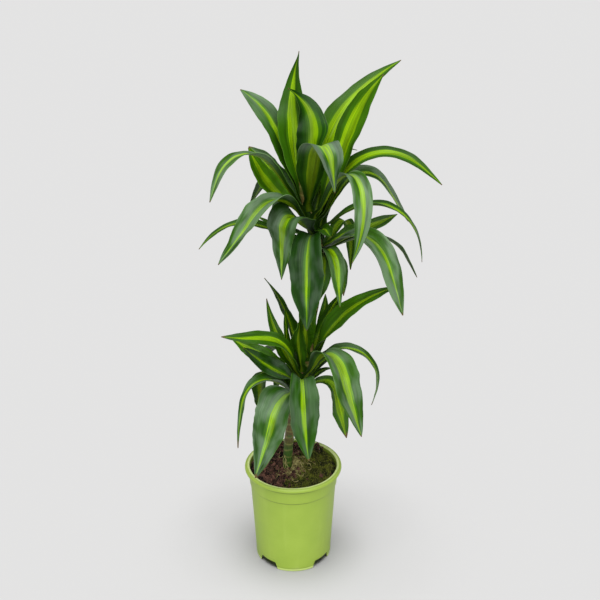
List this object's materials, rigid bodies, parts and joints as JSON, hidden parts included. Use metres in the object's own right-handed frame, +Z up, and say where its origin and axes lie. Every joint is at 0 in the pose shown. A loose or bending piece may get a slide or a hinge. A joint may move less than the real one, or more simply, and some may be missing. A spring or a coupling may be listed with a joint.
{
  "type": "potted corn plant",
  "caption": "Corn plant with arching striped leaves in rosettes on slender stems, in a tapered lime green nursery pot of soil.",
  "frame": {"origin": "middle of the pot's base, on the surface the pot stands on", "axes": "+Z up along the stems, -Y to the front, +X to the right as seen from the front"},
  "size_m": [0.377, 0.3789, 0.8681],
  "materials": {
    "pot": "satin moulded lime green plastic",
    "soil": "coarse damp peat with moss",
    "stem": "smooth green-brown cane with pale leaf scars",
    "leaf": "glossy green leaf with a yellow-green middle stripe"
  },
  "bodies": {
    "root": {"pot": "pot", "soil": "soil", "stem_short": "stem", "stem_tall": "stem", "upper_leaf_01": "leaf", "upper_leaf_02": "leaf", "upper_leaf_03": "leaf", "upper_leaf_04": "leaf", "upper_leaf_05": "leaf", "upper_leaf_06": "leaf", "upper_leaf_07": "leaf", "upper_leaf_08": "leaf", "upper_leaf_09": "leaf", "upper_leaf_10": "leaf", "upper_leaf_11": "leaf", "upper_leaf_12": "leaf", "upper_leaf_13": "leaf", "upper_leaf_14": "leaf", "upper_leaf_15": "leaf", "upper_leaf_16": "leaf", "upper_leaf_17": "leaf", "upper_leaf_18": "leaf", "upper_leaf_19": "leaf", "upper_leaf_20": "leaf", "upper_leaf_21": "leaf", "upper_leaf_22": "leaf", "upper_leaf_23": "leaf", "upper_leaf_24": "leaf", "upper_leaf_25": "leaf", "upper_leaf_26": "leaf", "upper_leaf_27": "leaf", "upper_leaf_28": "leaf", "upper_leaf_29": "leaf", "upper_leaf_30": "leaf", "upper_leaf_31": "leaf", "upper_leaf_32": "leaf", "lower_leaf_01": "leaf", "lower_leaf_02": "leaf", "lower_leaf_03": "leaf", "lower_leaf_04": "leaf", "lower_leaf_05": "leaf", "lower_leaf_06": "leaf", "lower_leaf_07": "leaf", "lower_leaf_08": "leaf", "lower_leaf_09": "leaf", "lower_leaf_10": "leaf", "lower_leaf_11": "leaf", "lower_leaf_12": "leaf", "lower_leaf_13": "leaf", "lower_leaf_14": "leaf", "lower_leaf_15": "leaf", "lower_leaf_16": "leaf", "lower_leaf_17": "leaf", "lower_leaf_18": "leaf", "lower_leaf_19": "leaf", "lower_leaf_20": "leaf", "lower_leaf_21": "leaf", "lower_leaf_22": "leaf", "lower_leaf_23": "leaf", "lower_leaf_24": "leaf"}
  },
  "joints": []
}
